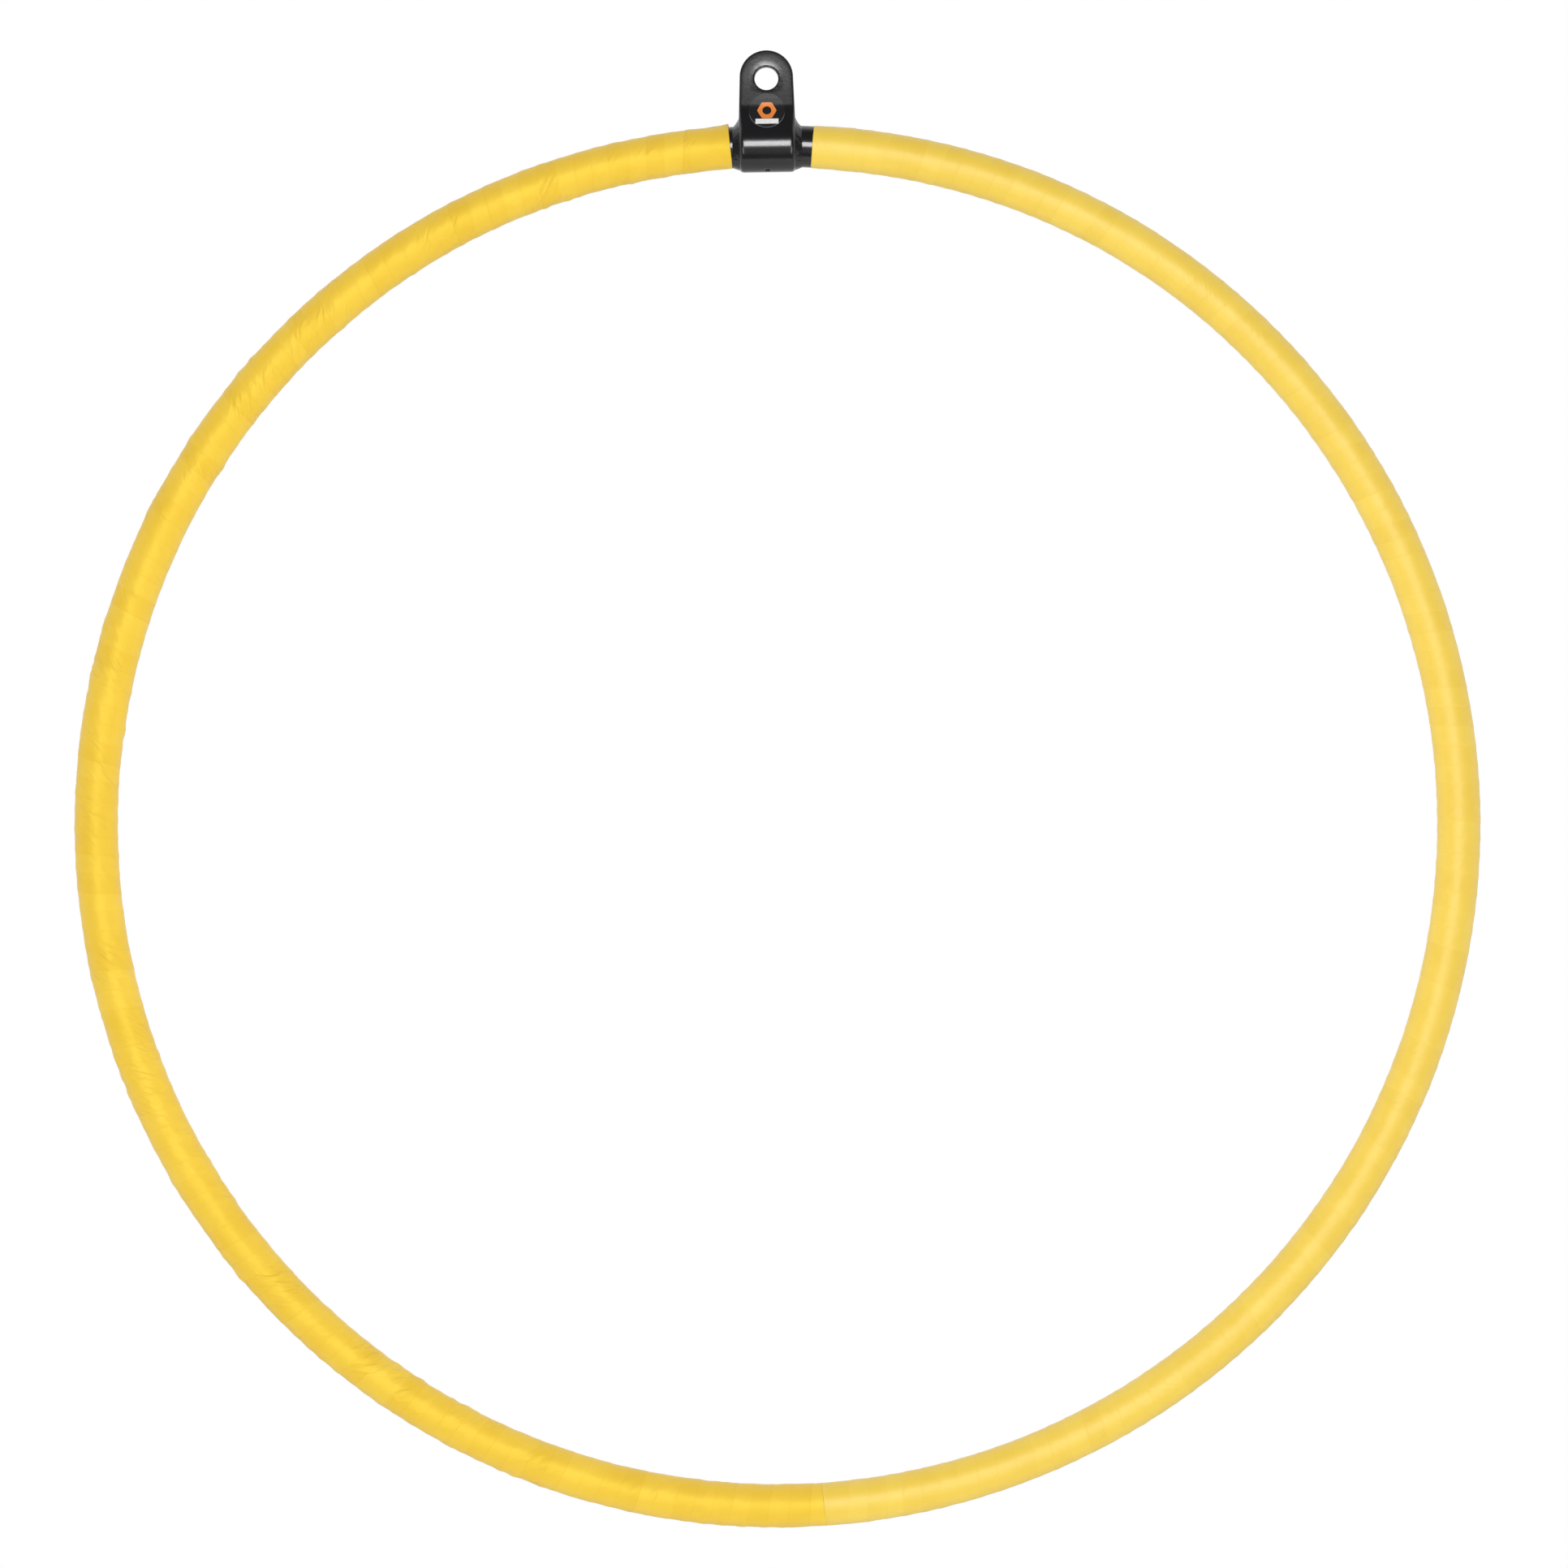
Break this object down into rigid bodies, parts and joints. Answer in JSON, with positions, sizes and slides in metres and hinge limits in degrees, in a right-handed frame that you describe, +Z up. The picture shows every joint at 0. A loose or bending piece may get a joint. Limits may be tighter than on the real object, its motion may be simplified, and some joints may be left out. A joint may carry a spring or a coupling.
{
  "type": "aerial hoop",
  "caption": "Single-point aerial hoop: a round steel ring with a welded hanging tab and eye, wrapped in cloth grip tape, hung upright from the eye.",
  "frame": {"origin": "centre of the hanging eye, midway between the tab's two faces", "axes": "+Z up along the tab, +X to the right seen from the front, +Y out of the back of the ring, so the front of the tab, with the label, faces -Y"},
  "size_m": [0.851, 0.0314, 0.8942],
  "materials": {
    "black_coat": "semi-gloss black powder coat",
    "bare_steel": "uncoated steel, inside the joint",
    "tape_left": "matt woven cotton tape, yellow, wrinkled",
    "tape_right": "matt woven cotton tape, paler yellow, smooth",
    "label_vinyl": "satin black vinyl",
    "orange_print": "orange print",
    "white_print": "white print"
  },
  "bodies": {
    "root": {"hoop_tube": "black_coat", "tab_strap": "black_coat", "seam_weld": "black_coat", "side_weld_left": "black_coat", "side_weld_right": "black_coat", "joint_weld": "bare_steel", "joint_sleeve": "bare_steel", "tape_wrap_left": "tape_left", "tape_wrap_right": "tape_right", "label_disc": "label_vinyl", "label_mark": "orange_print", "serial_bar": "white_print"}
  },
  "joints": []
}
